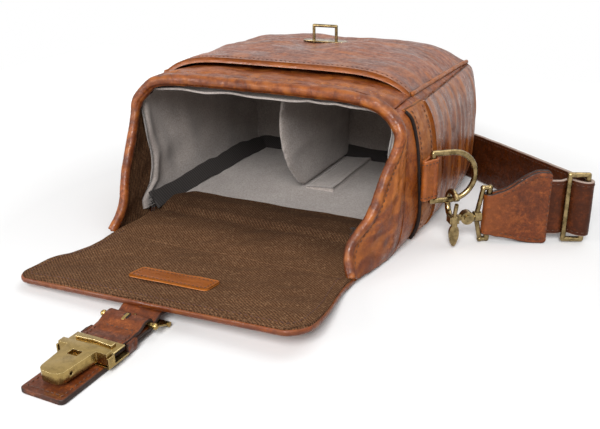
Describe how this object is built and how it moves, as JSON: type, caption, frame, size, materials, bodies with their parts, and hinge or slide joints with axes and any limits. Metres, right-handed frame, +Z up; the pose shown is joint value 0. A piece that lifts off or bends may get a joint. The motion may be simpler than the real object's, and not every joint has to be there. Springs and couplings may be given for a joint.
{
  "type": "camera bag",
  "caption": "Soft leather camera bag lying on its back with its flap open, a padded lining with a divider, a tuck lock and a clip-on shoulder strap.",
  "frame": {"origin": "centre of the back panel's outer face, on the floor the bag lies on", "axes": "+X right along the mouth, +Y from the mouth into the bag, +Z up from the back panel to the front panel"},
  "size_m": [0.3801, 0.4565, 0.143],
  "materials": {
    "leather": "waxed pull-up leather, satin",
    "pale_leather": "paler satin leather",
    "dark_leather": "satin leather",
    "strap_leather": "dark waxed strap leather",
    "grey_lining": "soft napped lining",
    "twill": "woven twill",
    "tape": "ribbed tape",
    "foam": "open-cell foam, hidden",
    "antique_brass": "aged satin brass"
  },
  "bodies": {
    "bag": {"back_panel": "leather", "back_foam": "foam", "back_lining": "grey_lining", "mouth_facing": "twill", "front_panel": "leather", "front_foam": "foam", "front_lining": "grey_lining", "side_panel_right": "leather", "side_panel_left": "leather", "side_foam_right": "foam", "side_foam_left": "foam", "side_lining_right": "grey_lining", "side_lining_left": "grey_lining", "bottom_panel": "leather", "bottom_foam": "foam", "bottom_lining": "grey_lining", "mouth_rim": "leather", "gusset_right": "leather", "gusset_left": "leather", "edge_tape": "tape", "front_pocket": "leather", "side_strip_right": "pale_leather", "side_strip_left": "pale_leather", "side_pocket_right": "leather", "side_pocket_left": "leather", "ring_tab_right": "leather", "ring_tab_left": "leather", "staple_plate": "antique_brass", "lock_staple": "antique_brass", "shoulder_strap": "strap_leather"},
    "flap": {"flap_leather": "leather", "flap_lining": "twill", "label_patch": "pale_leather"},
    "lap": {"lap_leather": "leather", "lap_lining": "twill", "billet": "dark_leather"},
    "lock": {"billet_tail": "dark_leather", "buckle_frame": "antique_brass", "buckle_prong": "antique_brass", "keeper": "leather", "lock_strap": "leather", "lock_plate": "antique_brass", "lock_spring": "antique_brass", "lock_front": "antique_brass", "lock_pin": "antique_brass", "pull_tab": "leather"},
    "tongue": {"lock_tongue": "antique_brass"},
    "ring_r": {"ring_right": "antique_brass", "frame_right": "antique_brass", "chape_right": "leather", "slider": "antique_brass"},
    "ring_l": {"ring_left": "antique_brass", "frame_left": "antique_brass", "chape_left": "leather"},
    "hook_r": {"hook_right": "antique_brass"},
    "hook_l": {"hook_left": "antique_brass"},
    "gate_r": {"gate_right": "antique_brass"},
    "gate_l": {"gate_left": "antique_brass"},
    "divider": {"divider": "grey_lining"},
    "tab": {"divider_tab": "grey_lining"}
  },
  "joints": [
    {"name": "flap_fold", "type": "hinge", "parent": "bag", "child": "flap", "pos_m": [0, -0.1002, 0.00605], "axis": [-1, 0, 0], "range_deg": [0, 85], "deforming": ["gusset_right", "gusset_left"]},
    {"name": "flap_drop", "type": "hinge", "parent": "flap", "child": "lap", "pos_m": [0, -0.2192, 0.01256], "axis": [-1, 0, 0], "range_deg": [0, 62]},
    {"name": "lock_swing", "type": "hinge", "parent": "lap", "child": "lock", "pos_m": [0, -0.2476, 0.00905], "axis": [1, 0, 0], "range_deg": [-60, 0]},
    {"name": "tongue_press", "type": "hinge", "parent": "lock", "child": "tongue", "pos_m": [0, -0.2969, 0.00775], "axis": [-1, 0, 0], "range_deg": [0, 10], "stiffness_Nm_per_rad": 0.05},
    {"name": "ring_right_swing", "type": "hinge", "parent": "bag", "child": "ring_r", "pos_m": [0.12474, -0.065, 0.053], "axis": [0, 0, 1], "range_deg": [-20, 20], "deforming": ["shoulder_strap"]},
    {"name": "ring_left_swing", "type": "hinge", "parent": "bag", "child": "ring_l", "pos_m": [-0.12474, -0.065, 0.053], "axis": [0, 0, 1], "range_deg": [-3, 20], "deforming": ["shoulder_strap"]},
    {"name": "hook_right_swivel", "type": "hinge", "parent": "ring_r", "child": "hook_r", "pos_m": [0.13858, -0.05673, 0.0208], "axis": [0.8192, 0.5736, 0], "range_deg": [-6, 6]},
    {"name": "hook_left_swivel", "type": "hinge", "parent": "ring_l", "child": "hook_l", "pos_m": [-0.13491, -0.05249, 0.0208], "axis": [-0.2419, 0.9703, 0], "range_deg": [-6, 6]},
    {"name": "gate_right_press", "type": "hinge", "parent": "hook_r", "child": "gate_r", "pos_m": [0.1415, -0.0609, 0.02217], "axis": [-0.8192, -0.5736, 0], "range_deg": [0, 20], "stiffness_Nm_per_rad": 0.02},
    {"name": "gate_left_press", "type": "hinge", "parent": "hook_l", "child": "gate_l", "pos_m": [-0.13986, -0.05372, 0.02217], "axis": [-0.2419, 0.9703, 0], "range_deg": [0, 20], "stiffness_Nm_per_rad": 0.02},
    {"name": "divider_slide", "type": "slide", "parent": "bag", "child": "divider", "axis": [1, 0, 0], "range_m": [-0.06, 0.04]},
    {"name": "divider_tab_lift", "type": "hinge", "parent": "divider", "child": "tab", "pos_m": [-0.0012, 0, 0.012], "axis": [0, -1, 0], "range_deg": [0, 85]}
  ]
}
